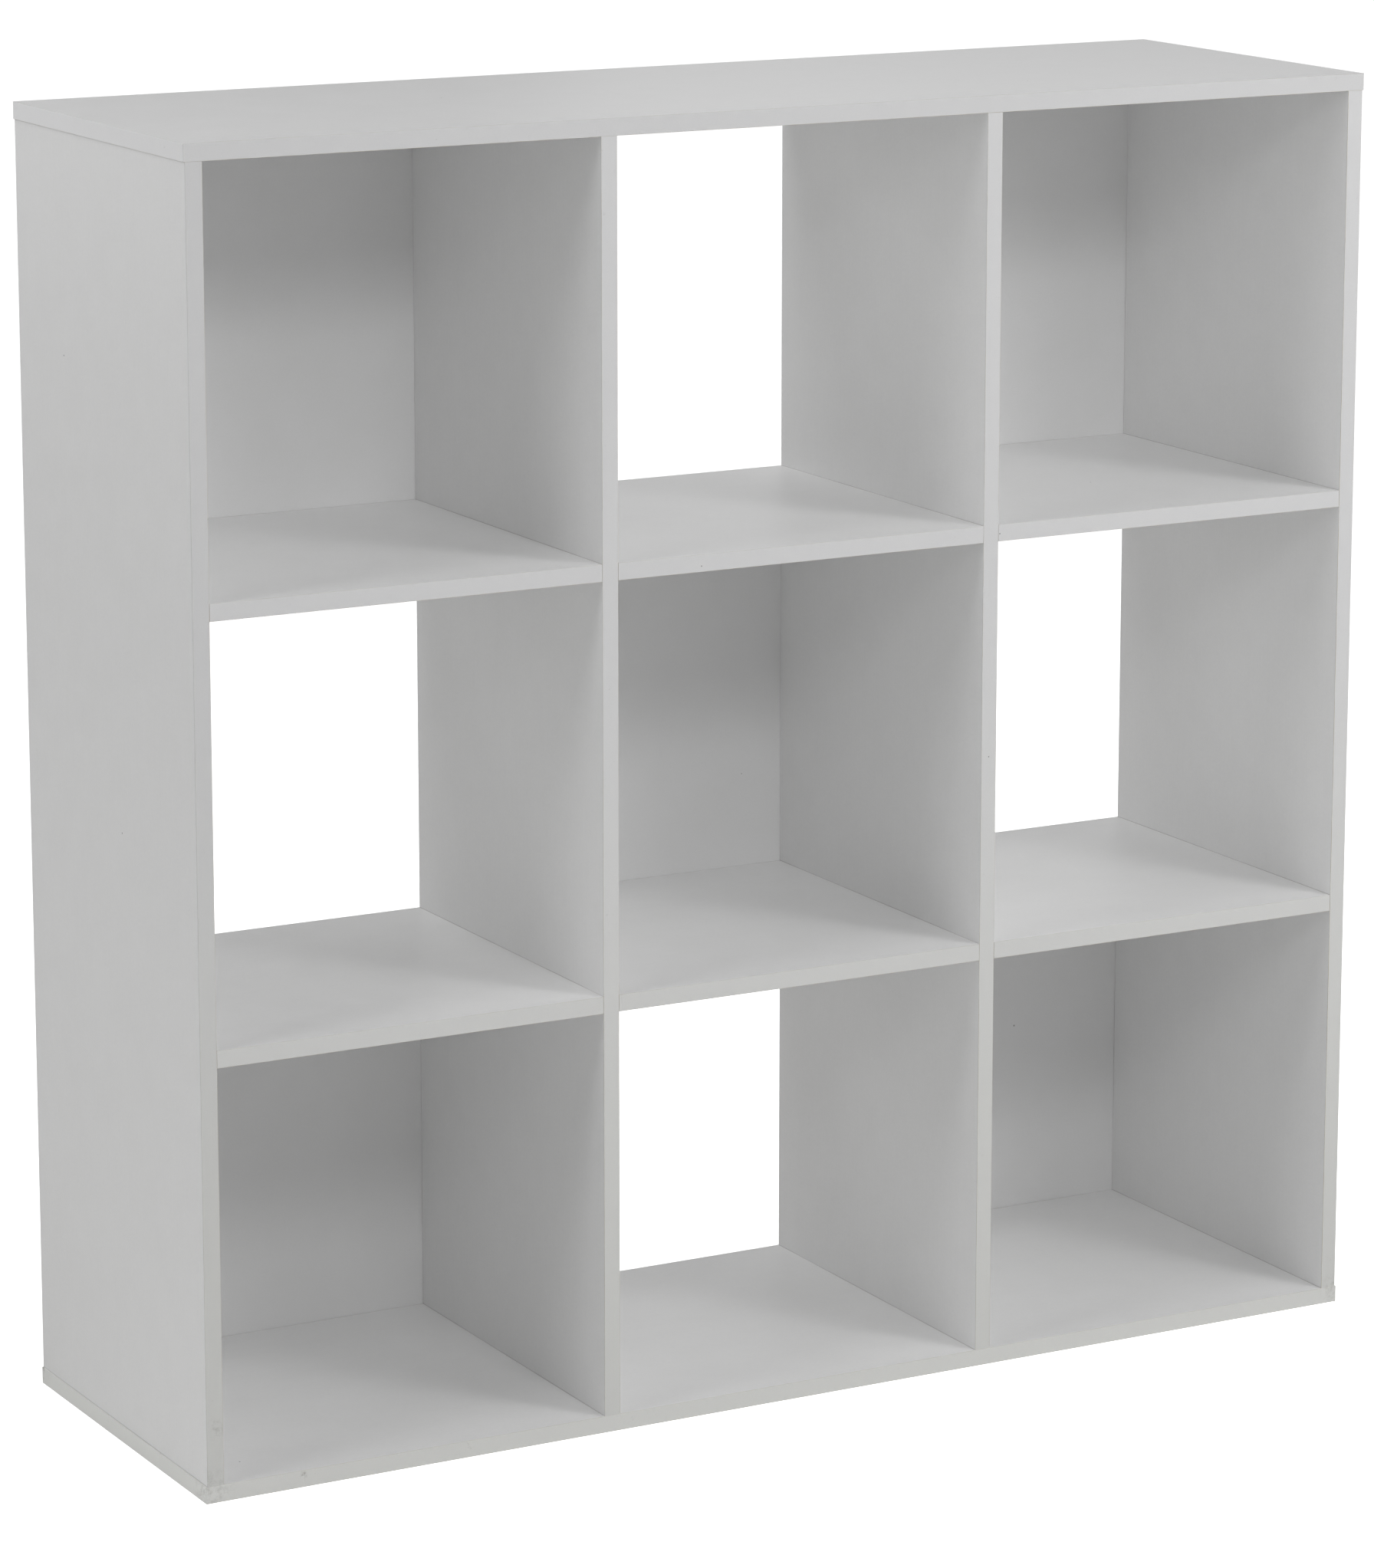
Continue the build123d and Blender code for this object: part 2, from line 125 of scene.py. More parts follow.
class EdgingFinish(bpy.types.PropertyGroup):
    face: FloatVectorProperty(
        name="Face", description="Colour of the edging", subtype="COLOR",
        size=3, min=0, max=1, default=(0.682, 0.682, 0.687),
    )
    core: FloatVectorProperty(
        name="Trimmed Arris", description="Colour that shows where the edging was trimmed", subtype="COLOR",
        size=3, min=0, max=1, default=(0.51, 0.43, 0.28),
    )
    arris: FloatProperty(
        name="Arris", description="Radius of the edging's long arrises", unit="LENGTH", default=0.18 * MM,
    )
    end_gap: FloatProperty(
        name="End Gap", description="Gap at the ends of a shelf's edging", unit="LENGTH", default=0.16 * MM,
    )
    cut_pitch: FloatProperty(
        name="Cut Pitch", description="Distance between the cuts that let a strip waver", unit="LENGTH",
        default=14 * MM,
    )


class BackFinish(bpy.types.PropertyGroup):
    front: FloatVectorProperty(
        name="Front", description="Colour of the painted front", subtype="COLOR",
        size=3, min=0, max=1, default=(0.872, 0.872, 0.871),
    )
    rear: FloatVectorProperty(
        name="Rear", description="Colour of the bare hardboard", subtype="COLOR",
        size=3, min=0, max=1, default=(0.30, 0.185, 0.098),
    )
    gap: FloatProperty(
        name="Gap", description="Widest gap between a back and the boards", unit="LENGTH", default=0.42 * MM,
    )
    bow: FloatProperty(
        name="Bow", description="How far a back bows between its nails", unit="LENGTH", default=0.5 * MM,
    )
    squares: IntProperty(
        name="Squares", description="Squares along each side of a back", min=2, max=40, default=14,
    )


class FittingSizes(bpy.types.PropertyGroup):
    facets: IntProperty(name="Facets", description="Facets round a fitting", min=12, max=96, default=40)
    nail_facets: IntProperty(
        name="Nail Facets", description="Facets round a nail's head", min=8, max=32, default=18,
    )
    slot_depth: FloatProperty(
        name="Recess", description="Depth of the driver recess in a cam", unit="LENGTH", default=1.6 * MM,
    )
    cap_dish: FloatProperty(
        name="Cap Dish", description="How far a cap's middle is dished", unit="LENGTH", default=0.14 * MM,
    )


class StudioSettings(bpy.types.PropertyGroup):
    floor: FloatVectorProperty(
        name="Floor", description="Colour of the floor", subtype="COLOR",
        size=3, min=0, max=1, default=(0.95, 0.949, 0.94),
    )
    floor_glow: FloatProperty(
        name="Floor Glow", description="How much whiter the floor looks", min=0, default=0.97,
    )
    room: FloatProperty(
        name="Room Light", description="Strength of the even light of the room", min=0, default=0.13,
    )
    lens: FloatProperty(
        name="Lens", description="Focal length of the camera", subtype="DISTANCE_CAMERA", default=132.66,
    )
    turn: FloatProperty(
        name="Turn", description="Turn of the camera to the right of straight on", subtype="ANGLE",
        default=math.radians(28.62),
    )
    tilt: FloatProperty(
        name="Tilt", description="Tilt of the camera below level", subtype="ANGLE", default=math.radians(11.48),
    )
    place: FloatVectorProperty(
        name="Camera", description="Place of the camera", subtype="TRANSLATION", size=3,
        default=(-1.9326, -3.5191, 1.3327),
    )


# Shader wiring.
class Wire:
    """A shader socket. Arithmetic on it adds Math nodes to its finish."""

    def __init__(self, finish, socket):
        self.finish = finish
        self.socket = socket

    def maths(self, operation, *values):
        return self.finish.node("Math", {"operation": operation}, dict(enumerate(values)))

    def __add__(self, other):
        return self.maths("ADD", self, other)

    __radd__ = __add__

    def __sub__(self, other):
        return self.maths("SUBTRACT", self, other)

    def __rsub__(self, other):
        return self.maths("SUBTRACT", other, self)

    def __mul__(self, other):
        return self.maths("MULTIPLY", self, other)

    __rmul__ = __mul__

    def __truediv__(self, other):
        return self.maths("DIVIDE", self, other)

    def __gt__(self, other):
        return self.maths("GREATER_THAN", self, other)

    def __lt__(self, other):
        return self.maths("LESS_THAN", self, other)

    def __abs__(self):
        return self.maths("ABSOLUTE", self)

    def most(self, other):
        return self.maths("MAXIMUM", self, other)

    def wave(self, half_period):
        """Distance to the nearest multiple of two half periods."""
        return self.maths("PINGPONG", self, half_period)

    def fade(self, start, end):
        """Smoothly from 0 at start to 1 at end."""
        return self.finish.node(
            "MapRange", {"interpolation_type": "SMOOTHSTEP"},
            {"Value": self, "From Min": start, "From Max": end, "To Min": 0.0, "To Max": 1.0},
        )


def pick(sockets, key):
    """The enabled socket with that name, or at that place."""
    shown = [socket for socket in sockets if socket.enabled]
    if isinstance(key, int):
        return shown[key]
    return next(socket for socket in shown if socket.name == key)


class Finish:
    """One procedural material on Object coordinates."""

    def __init__(self, name, roughness=0.5, **uniform):
        self.material = bpy.data.materials.new(name)
        self.material.use_nodes = True
        self.tree = self.material.node_tree
        self.tree.nodes.clear()
        self.surface = self.tree.nodes.new("ShaderNodeBsdfPrincipled")
        output = self.tree.nodes.new("ShaderNodeOutputMaterial")
        self.tree.links.new(self.surface.outputs[0], output.inputs["Surface"])
        self.surface.inputs["Roughness"].default_value = roughness
        for label, value in uniform.items():
            self.surface.inputs[label.replace("_", " ")].default_value = value
        self.place = self.node("TexCoord", output="Object")
        split = self.node("SeparateXYZ", {}, {0: self.place})
        self.x, self.y, self.z = [Wire(self, socket) for socket in split.socket.node.outputs]

    def node(self, kind, settings=None, sockets=None, output=0):
        """Adds a node: its settings first, then the values or links of its sockets."""
        made = self.tree.nodes.new("ShaderNode" + kind)
        for label, value in (settings or {}).items():
            if label == "stops":
                ramp = made.color_ramp.elements
                while len(ramp) < len(value):
                    ramp.new(0.5)
                for stop, (position, colour) in zip(ramp, value):
                    stop.position = position
                    stop.color = (*colour, 1)
            else:
                setattr(made, label, value)
        for label, value in (sockets or {}).items():
            socket = pick(made.inputs, label)
            if isinstance(value, Wire):
                self.tree.links.new(value.socket, socket)
            elif isinstance(value, (tuple, list)) and socket.type == "RGBA":
                socket.default_value = (*value[:3], 1)
            else:
                socket.default_value = value
        return Wire(self, pick(made.outputs, output))

    def shine(self, label, wire):
        self.tree.links.new(wire.socket, self.surface.inputs[label])

    def grain(self, scale, detail=2.0, roughness=0.5, at=None, seed=0.0):
        """Fractal noise about 0.5."""
        return self.node(
            "TexNoise", {"noise_dimensions": "4D"},
            {"Vector": at or self.place, "W": seed, "Scale": scale, "Detail": detail, "Roughness": roughness},
        )

    def stretched(self, x, y, z):
        """The place with its three directions stretched apart."""
        return self.node("VectorMath", {"operation": "MULTIPLY"}, {0: self.place, 1: (x, y, z)})

    def cells(self, scale, output, at=None, randomness=1.0):
        return self.node(
            "TexVoronoi", {"feature": "F1"},
            {"Vector": at or self.place, "Scale": scale, "Randomness": randomness}, output,
        )

    def mix(self, factor, start, end):
        """From one colour to another."""
        return self.node("Mix", {"data_type": "RGBA"}, {"Factor": factor, "A": start, "B": end})

    def shade(self, colour, amount):
        """A colour made darker or lighter all through."""
        return self.node(
            "VectorMath", {"operation": "SCALE"}, {0: colour, "Scale": amount},
        )

    def near(self, point, radius, softness=0.5):
        """1 within a radius of a point, fading out."""
        away = self.node("VectorMath", {"operation": "DISTANCE"}, {0: self.place, 1: point}, "Value")
        return 1 - away.fade(radius * (1 - softness), radius)

    def bump(self, height, distance, strength=1.0):
        self.shine("Normal", self.node(
            "Bump", {}, {"Height": height, "Distance": distance, "Strength": strength}, "Normal",
        ))


def tint(colour, red=1.0, green=1.0, blue=1.0):
    return (colour[0] * red, colour[1] * green, colour[2] * blue)


# Finishes.
def chipboard(finish, depth, chips):
    """Colour and height of cut chipboard: fine at its faces and coarse in the middle."""
    flakes = finish.cells(430, "Color", finish.stretched(1.0, 0.7, 1.0))
    dust = finish.grain(2300, 3, 0.7)
    tone = finish.node("SeparateColor", {}, {0: flakes}, 0)
    middle = 1 - depth.fade(HALF_BOARD * 0.25, HALF_BOARD * 0.75)
    coarse = finish.node("ValToRGB", {"stops": [
        (0.0, tint(chips, 0.42, 0.38, 0.34)), (0.25, tint(chips, 0.8, 0.76, 0.7)),
        (0.62, chips), (1.0, tint(chips, 1.38, 1.42, 1.5)),
    ]}, {0: tone})
    fine = finish.mix(dust.fade(0.3, 0.7), tint(chips, 0.78, 0.75, 0.7), tint(chips, 1.25, 1.27, 1.3))
    colour = finish.mix(middle * 0.75 + 0.1, fine, coarse)
    return colour, tone * middle + dust * 0.6


def faced_board(name, across, settings):
    """Melamine-faced chipboard, for the boards that are thin across X or across Z."""
    finish = Finish(name, settings.sheen, Specular_IOR_Level=0.35)
    off_upright = (finish.x - LEFT_X).wave(COLUMN_PITCH / 2)
    off_level = (finish.z - FLOOR_BOARD_Z).wave(LEVEL_PITCH / 2)
    depth, cross = (off_upright, off_level) if across == "X" else (off_level, off_upright)
    face = depth > HALF_BOARD - settings.skin
    # The face: faint mottling, and a faint grain that runs up the sides.
    mottle = finish.grain(560, 3, 0.65)
    cloud = finish.grain(38, 3, 0.55, seed=3.0)
    grain_run = (900, 900, 24) if across == "X" else (24, 900, 900)
    streak = finish.grain(1.0, 2, 0.6, finish.stretched(*grain_run))
    white = tuple(settings.face)
    tone = (mottle * 0.5 + cloud * 0.3 + streak * 0.2).fade(0.3, 0.7)
    colour = finish.mix(tone, tint(white, 0.978, 0.978, 0.978), tint(white, 1.02, 1.02, 1.021))
    # Painted shade: a fine dark line where another board's face or end meets this one, standing for the shadow
    # in the hairline gap of the joint.
    joint = 1 - abs(cross - HALF_BOARD - 0.12 * MM).fade(0.12 * MM, 0.42 * MM)
    joint = joint * (finish.grain(14, 2, seed=8.0).fade(0.2, 0.62) * 0.7 + 0.3)
    # Shelves don't show through the outer faces, where only the top and bottom boards do.
    from_middle = abs(finish.z - HEIGHT / 2)
    shown = (abs(finish.x) < HALF_WIDTH - 2 * MM).most(from_middle > HEIGHT * 0.4)
    joint = joint * shown * (from_middle < HEIGHT / 2 - MM)
    # The painted joint shade is mixed into the face colour here.
    colour = finish.mix(joint * settings.joint_shade, colour, tint(white, 0.42, 0.41, 0.38))
    # Specks in the face and marks from use.
    dots = finish.cells(16, "Distance")
    specks = (1 - dots.fade(0.004, 0.008)) * (finish.grain(21, 0, seed=5.0) > 0.60)
    for point in SPECKS:
        specks = specks.most(finish.near(point, 0.75 * MM))
    colour = finish.mix(specks * 0.7, colour, (0.09, 0.085, 0.08))
    core, relief = chipboard(finish, depth, tuple(settings.chips))
    finish.shine("Base Color", finish.mix(face, core, colour))
    satin = settings.sheen + (cloud - 0.5) * 0.10 + (mottle - 0.5) * 0.08
    finish.shine("Roughness", finish.node(
        "Mix", {"data_type": "FLOAT"}, {"Factor": face, "A": 0.92, "B": satin},
    ))
    peel = finish.grain(420, 3, 0.6, seed=2.0) * 0.05
    height = finish.node("Mix", {"data_type": "FLOAT"}, {"Factor": face, "A": relief, "B": peel})
    finish.bump(height, 0.35 * MM, 0.6)
    return finish.material


SPECKS = [
    (0.2197, -0.0741, 0.912), (-0.4163, -0.1086, 0.012), (-0.1920, 0.0210, 0.912), (0.3050, -0.0300, 0.612),
    (-0.0350, 0.0850, 0.312), (-0.4560, -0.0210, 0.4350), (-0.4560, 0.0630, 0.7480),
]


def edging_finish(settings):
    """White edging with a trimmed arris, faint smudges, and scuffs near the floor."""
    finish = Finish("melamine_edging", 0.44, Specular_IOR_Level=0.40)
    white = tuple(settings.face)
    mottle = finish.grain(1100, 2, 0.6)
    cloud = finish.grain(55, 3, 0.6, seed=1.0)
    low = 1 - finish.z.fade(HEIGHT * 0.16, HEIGHT * 0.64)
    warm = low * 0.85 + cloud.fade(0.45, 0.75) * 0.15
    base = finish.mix(warm, white, tint(white, 0.985, 0.988, 0.950))
    # Painted light and shade: each strip's colour is scaled by its tone attribute.
    base = finish.shade(base, finish.node("Attribute", {"attribute_name": "tone"}, {}, "Fac"))
    tone = (mottle * 0.6 + cloud * 0.4).fade(0.3, 0.7)
    base = finish.mix(tone, finish.shade(base, 0.985), finish.shade(base, 1.012))
    rub = finish.grain(190, 5, 0.75, seed=6.0)
    smudge = rub.fade(0.60, 0.74) * finish.grain(17, 1, seed=4.0).fade(0.52, 0.66) * 0.30
    for point, radius, weight in SCUFFS:
        smudge = smudge.most(finish.near(point, radius, 0.9) * rub.fade(0.44, 0.62) * weight)
    base = finish.mix(smudge, base, (0.22, 0.21, 0.185))
    for point in EDGE_SPECKS:
        base = finish.mix(finish.near(point, 0.6 * MM) * 0.75, base, (0.07, 0.065, 0.06))
    arris = finish.node("Attribute", {"attribute_name": "arris"}, {}, "Fac")
    worn = arris * (finish.grain(60, 3, 0.6, seed=9.0).fade(0.30, 0.62) * 0.75 + 0.2)
    finish.shine("Base Color", finish.mix(worn, base, tuple(settings.core)))
    finish.shine("Roughness", 0.42 + (cloud - 0.5) * 0.12 + worn * 0.2 + smudge * 0.2)
    finish.bump(finish.grain(500, 3, 0.6, seed=2.0), 0.02 * MM, 0.6)
    return finish.material


SCUFFS = [
    ((-0.457, -0.1447, 0.006), 0.026, 0.30), ((-0.449, -0.1447, 0.052), 0.010, 0.30),
    ((-0.457, 0.141, 0.012), 0.006, 0.8), ((-0.3855, -0.1447, 0.0085), 0.004, 0.8),
    ((0.457, -0.1447, 0.010), 0.018, 0.25), ((0.457, 0.138, 0.006), 0.020, 0.45),
]
EDGE_SPECKS = [
    (0.1572, -0.1447, 0.6055), (-0.0800, -0.1447, 0.6040), (0.150, -0.1447, 0.447), (-0.457, -0.0674, 0.0118),
]


def back_front_finish(settings):
    """Painted hardboard, a little softer in sheen than the boards."""
    finish = Finish("back_painted_front", 0.5, Specular_IOR_Level=0.36)
    white = tuple(settings.front)
    fibre = finish.grain(700, 4, 0.7)
    cloud = finish.grain(26, 3, 0.6, seed=2.0)
    tone = (fibre * 0.6 + cloud * 0.4).fade(0.3, 0.7)
    colour = finish.mix(tone, tint(white, 0.98, 0.98, 0.98), tint(white, 1.015, 1.015, 1.02))
    dots = finish.cells(24, "Distance", seed_place(finish))
    specks = (1 - dots.fade(0.006, 0.012)) * (finish.grain(19, 0, seed=7.0) > 0.58)
    specks = specks.most(finish.near((0.352, REAR_Y, 0.1568), 0.8 * MM, 0.4))
    finish.shine("Base Color", finish.mix(specks * 0.65, colour, (0.10, 0.09, 0.075)))
    finish.shine("Roughness", 0.46 + (fibre - 0.5) * 0.16 + (cloud - 0.5) * 0.08)
    finish.bump(fibre, 0.03 * MM, 0.6)
    return finish.material


def seed_place(finish):
    """The place moved aside, so that a pattern differs from the boards' own."""
    return finish.node("VectorMath", {"operation": "ADD"}, {0: finish.place, 1: (0.31, 0.17, 0.53)})


def hardboard_finish(settings):
    """Bare brown hardboard with the mark of the press screen and long dark fibres."""
    finish = Finish("back_bare_rear", 0.78, Specular_IOR_Level=0.25)
    brown = tuple(settings.rear)
    pitch = 1.1 * MM
    screen = finish.x.wave(pitch / 2) / (pitch / 2) * (finish.z.wave(pitch / 2) / (pitch / 2))
    fibre = finish.grain(650, 5, 0.72)
    strands = finish.grain(1.0, 4, 0.7, finish.stretched(140, 300, 1200))
    cloud = finish.grain(12, 3, 0.6, seed=4.0)
    tone = fibre * 0.4 + strands * 0.25 + cloud * 0.35
    colour = finish.node("ValToRGB", {"stops": [
        (0.30, tint(brown, 0.55, 0.52, 0.5)), (0.46, tint(brown, 0.9, 0.88, 0.86)),
        (0.56, brown), (0.72, tint(brown, 1.4, 1.46, 1.6)),
    ]}, {0: tone})
    colour = finish.mix(screen * 0.35, colour, tint(brown, 0.62, 0.6, 0.58))
    finish.shine("Base Color", colour)
    finish.shine("Roughness", 0.70 + fibre * 0.2)
    finish.bump((1 - screen) * 0.6 + fibre * 0.5, 0.16 * MM, 0.7)
    return finish.material


def metal_finish(name, colour, roughness, seed, blotch=0.5):
    """Plated or cast metal with spangle, fine scratches and dull patches."""
    finish = Finish(name, roughness, Metallic=1.0)
    spangle = finish.node("SeparateColor", {}, {0: finish.cells(700, "Color")}, 0)
    scratch = finish.grain(1.0, 3, 0.7, finish.stretched(3200, 2600, 260), seed)
    patch = finish.grain(240, 3, 0.6, seed=seed)
    tone = (spangle * 0.35 + scratch * 0.3 + patch * blotch).fade(0.1, 0.9)
    finish.shine("Base Color", finish.mix(tone, tint(colour, 0.72, 0.72, 0.74), tint(colour, 1.15, 1.15, 1.13)))
    finish.shine("Roughness", roughness + (patch - 0.5) * 0.3 + (scratch - 0.5) * 0.2)
    finish.bump(scratch * 0.5 + patch * 0.5, 0.04 * MM, 0.6)
    return finish.material


def cap_finish():
    """Moulded white plastic with a fine spark texture."""
    finish = Finish("cap_moulding", 0.36, Specular_IOR_Level=0.45)
    spark = finish.grain(2600, 2, 0.6)
    cloud = finish.grain(90, 2, 0.5, seed=1.0)
    tone = (spark * 0.4 + cloud * 0.6).fade(0.3, 0.7)
    finish.shine("Base Color", finish.mix(tone, (0.79, 0.79, 0.784), (0.84, 0.84, 0.834)))
    finish.shine("Roughness", 0.32 + spark * 0.14)
    finish.bump(spark, 0.03 * MM, 0.6)
    return finish.material


def beech_finish():
    """Turned beech with short flecks along the grain."""
    finish = Finish("dowel_beech", 0.62)
    fleck = finish.grain(1.0, 3, 0.7, finish.stretched(260, 2200, 900))
    ring = finish.grain(420, 3, 0.6, seed=2.0)
    colour = finish.mix((fleck * 0.5 + ring * 0.5).fade(0.3, 0.7), (0.46, 0.29, 0.155), (0.66, 0.47, 0.29))
    finish.shine("Base Color", colour)
    finish.shine("Roughness", 0.55 + fleck * 0.2)
    finish.bump(fleck, 0.08 * MM, 0.6)
    return finish.material


# Modelling helpers.
def add_block(bm, low, high):
    """A box between two corners."""
    verts = bmesh.ops.create_cube(bm, size=1.0)["verts"]
    size, middle = high - low, (low + high) / 2
    bmesh.ops.scale(bm, vec=size, verts=verts)
    bmesh.ops.translate(bm, vec=middle, verts=verts)
    return verts


def round_over(bm, edges, radius, segments=2):
    return bmesh.ops.bevel(
        bm, geom=edges, offset=radius, segments=segments, profile=0.5, affect="EDGES", material=-1,
        clamp_overlap=True,
    )


def slice_along(bm, axis, places):
    """Cuts the whole mesh across an axis."""
    normal = Vector((0, 0, 0))
    normal[axis] = 1
    for place in places:
        point = Vector((0, 0, 0))
        point[axis] = place
        bmesh.ops.bisect_plane(
            bm, geom=bm.verts[:] + bm.edges[:] + bm.faces[:], dist=1e-7, plane_co=point, plane_no=normal,
        )


def steps(low, high, pitch):
    count = max(1, round((high - low) / pitch))
    return [low + (high - low) * index / count for index in range(1, count)]


def finish_piece(name, bm, materials, nodes, smooth=False):
    """Turns a bmesh into a piece that stands for CAD nodes."""
    bmesh.ops.recalc_face_normals(bm, faces=bm.faces[:])
    mesh = bpy.data.meshes.new(name)
    bm.to_mesh(mesh)
    bm.free()
    for material in materials:
        mesh.materials.append(material)
    if smooth:
        mesh.shade_smooth()
        mesh.set_sharp_from_angle(angle=math.radians(35))
    piece = bpy.data.objects.new(name, mesh)
    bpy.context.scene.collection.objects.link(piece)
    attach(piece, "root")
    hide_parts(*nodes)
    return piece


def repaint(node, material):
    """Gives a CAD node a finish of its own."""
    mesh = NODES[node].data
    mesh.materials.clear()
    mesh.materials.append(material)


# Edging.
def add_strip(bm, low, high, outward, settings, nicks=(), tone=1.0, wear=(0.9, 0.25)):
    """A strip of edging whose long outer arrises are rounded and waver a little."""
    along = max(range(3), key=lambda axis: high[axis] - low[axis])
    across = next(axis for axis in range(3) if axis not in (along, abs(outward) - 1))
    side = abs(outward) - 1
    outer = high[side] if outward > 0 else low[side]
    strip = bmesh.new()
    # Both layers come before any face, because a new layer drops the faces that are held.
    for label in ("arris", "tone"):
        strip.faces.layers.float.new(label)
    layer, tones = strip.faces.layers.float["arris"], strip.faces.layers.float["tone"]
    add_block(strip, low, high)
    # The tone attribute carries the strip's painted light and shade.
    for face in strip.faces:
        face[tones] = tone
    edges = [
        edge for edge in strip.edges
        if all(abs(vertex.co[side] - outer) < 1e-6 for vertex in edge.verts)
        and abs(edge.verts[0].co[across] - edge.verts[1].co[across]) < 1e-6
    ]
    rounded = round_over(strip, edges, settings.arris, 3)["faces"]
    middle = (low[across] + high[across]) / 2
    for face in rounded:
        face[layer] = wear[1 if face.calc_center_median()[across] > middle else 0]
        face[tones] = tone
    places = steps(low[along], high[along], settings.cut_pitch)
    for spot, width, _, _ in nicks:
        places += [spot - width / 2, spot, spot + width / 2]
    slice_along(strip, along, places)
    inward = -1 if outward > 0 else 1
    for vertex in strip.verts:
        if not low[along] + 1e-6 < vertex.co[along] < high[along] - 1e-6:
            continue
        from_front = abs(vertex.co[side] - outer)
        from_side = abs(abs(vertex.co[across] - middle) - (high[across] - low[across]) / 2)
        if max(from_front, from_side) >= settings.arris * 1.05:
            continue
        way = 1 if vertex.co[across] > middle else -1
        give = max(0.0, noise.noise(vertex.co * 70 + Vector((way, 0, 0)))) * 0.09 * MM
        for spot, width, depth, nick_way in nicks:
            if nick_way == way and abs(vertex.co[along] - spot) < width * 0.3:
                give += depth
        if give:
            vertex.co[side] += inward * min(give, abs(high[side] - low[side]) * 0.8)
            vertex.co[across] -= way * give * 1.2
    mesh = bpy.data.meshes.new("strip")
    strip.to_mesh(mesh)
    strip.free()
    bm.from_mesh(mesh)
    bpy.data.meshes.remove(mesh)


class UNIT_OT_edging(bpy.types.Operator):
    """Lays the strips of edging on the front edges and on the ends of the top and bottom boards"""

    bl_idname = "cube_unit.edging"
    bl_label = "Lay Edging"

    def execute(self, context):
        settings = context.scene.cube_edging
        material = edging_finish(settings)
        rng = random.Random(11)
        for node in sorted(name for name in NODES if name.endswith("_edging")):
            bm = bmesh.new()
            low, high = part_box(node)
            if node.endswith("end_edging"):
                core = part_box(node.split("_")[0] + "_panel")
                nicks = NICKS.get(node, ())
                inner = Vector((core[0].x, high.y, high.z))
                add_strip(bm, low, inner, -1, settings, nicks, END_STRIP_PAINTED_LIGHT, (0.5, 0.2))
                add_strip(bm, Vector((core[1].x, low.y, low.z)), high, 1, settings, (), END_STRIP_PAINTED_LIGHT)
            else:
                if node.startswith("shelf"):
                    gap = Vector((settings.end_gap, 0, 0))
                    set_back = Vector((0, rng.uniform(0.0, 0.12) * MM, 0))
                    low, high = low + gap + set_back, high - gap
                wear = WEAR.get(node, (0.45, 0.9) if high.z - low.z > 0.1 else (0.9, 0.25))
                add_strip(bm, low, high, -2, settings, NICKS.get(node, ()), STRIP_PAINTED_LIGHT.get(node, 1.0), wear)
            finish_piece(node.replace("_edging", "_edge_strip"), bm, [material], [node])
        return {"FINISHED"}


# Painted light and shade: how much lighter or darker one strip is painted than the next, to match how light
# fell on it; the end strips are painted lighter than the front ones.
STRIP_PAINTED_LIGHT = {
    "top_front_edging": 0.965, "left_side_edging": 0.94, "bottom_front_edging": 1.07,
    "right_side_edging": 0.995,
}
END_STRIP_PAINTED_LIGHT = 1.29
# How far the two arrises of a strip show their core, the lower or left one first.
WEAR = {"left_side_edging": (0.12, 0.9), "right_side_edging": (0.8, 0.1)}
# Nicks in the edging: place along the strip, width, depth, and which arris.
NICKS = {
    "top_end_edging": [
        (0.0356, 3 * MM, 0.16 * MM, 1), (-0.012, 5 * MM, 0.12 * MM, 1), (0.101, 4 * MM, 0.15 * MM, 1),
    ],
    "bottom_end_edging": [
        (-0.0674, 4 * MM, 0.22 * MM, 1), (0.020, 6 * MM, 0.14 * MM, 1), (0.138, 3 * MM, 0.20 * MM, 1),
    ],
    "bottom_front_edging": [(-0.3855, 2.4 * MM, 0.2 * MM, 1)],
    "shelf_lower_middle_edging": [(-0.1425, 1.6 * MM, 0.15 * MM, 1)],
}


# Boards.
class UNIT_OT_boards(bpy.types.Operator):
    """Gives the boards their melamine faces and bare chipboard edges"""

    bl_idname = "cube_unit.boards"
    bl_label = "Finish Boards"

    def execute(self, context):
        settings = context.scene.cube_boards
        upright = faced_board("melamine_upright", "X", settings)
        level = faced_board("melamine_level", "Z", settings)
        for node in UPRIGHTS:
            repaint(node, upright)
        for node in LEVEL_BOARDS:
            repaint(node, level)
        return {"FINISHED"}


# Backs.
def back_sheet(node, settings):
    """A thin sheet that bows a little between the nails round its edge."""
    low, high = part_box(node)
    front = low.y + 0.06 * MM
    bm = bmesh.new()
    add_block(bm, Vector((low.x, front, low.z)), high)
    round_over(bm, bm.edges[:], 0.25 * MM, 1)
    for axis in (0, 2):
        slice_along(bm, axis, steps(low[axis], high[axis], (high[axis] - low[axis]) / settings.squares))
    lap = HALF_BOARD
    for vertex in bm.verts:
        if vertex.co.y > (front + high.y) / 2:
            continue
        inset = min(vertex.co.x - low.x, high.x - vertex.co.x, vertex.co.z - low.z, high.z - vertex.co.z)
        swell = noise.noise(Vector((vertex.co.x * 9, 3.7, vertex.co.z * 9))) * 0.5 + 0.5
        vertex.co.y += settings.gap * swell
        if inset > lap:
            share = min(1.0, (inset - lap) / 0.1)
            wave = noise.noise(Vector((vertex.co.x * 6, 9.1, vertex.co.z * 6))) * 0.5 + 0.4
            vertex.co.y -= settings.bow * share * wave
    for face in bm.faces:
        face.material_index = 0 if face.normal.y < -0.9 else 1
    return bm


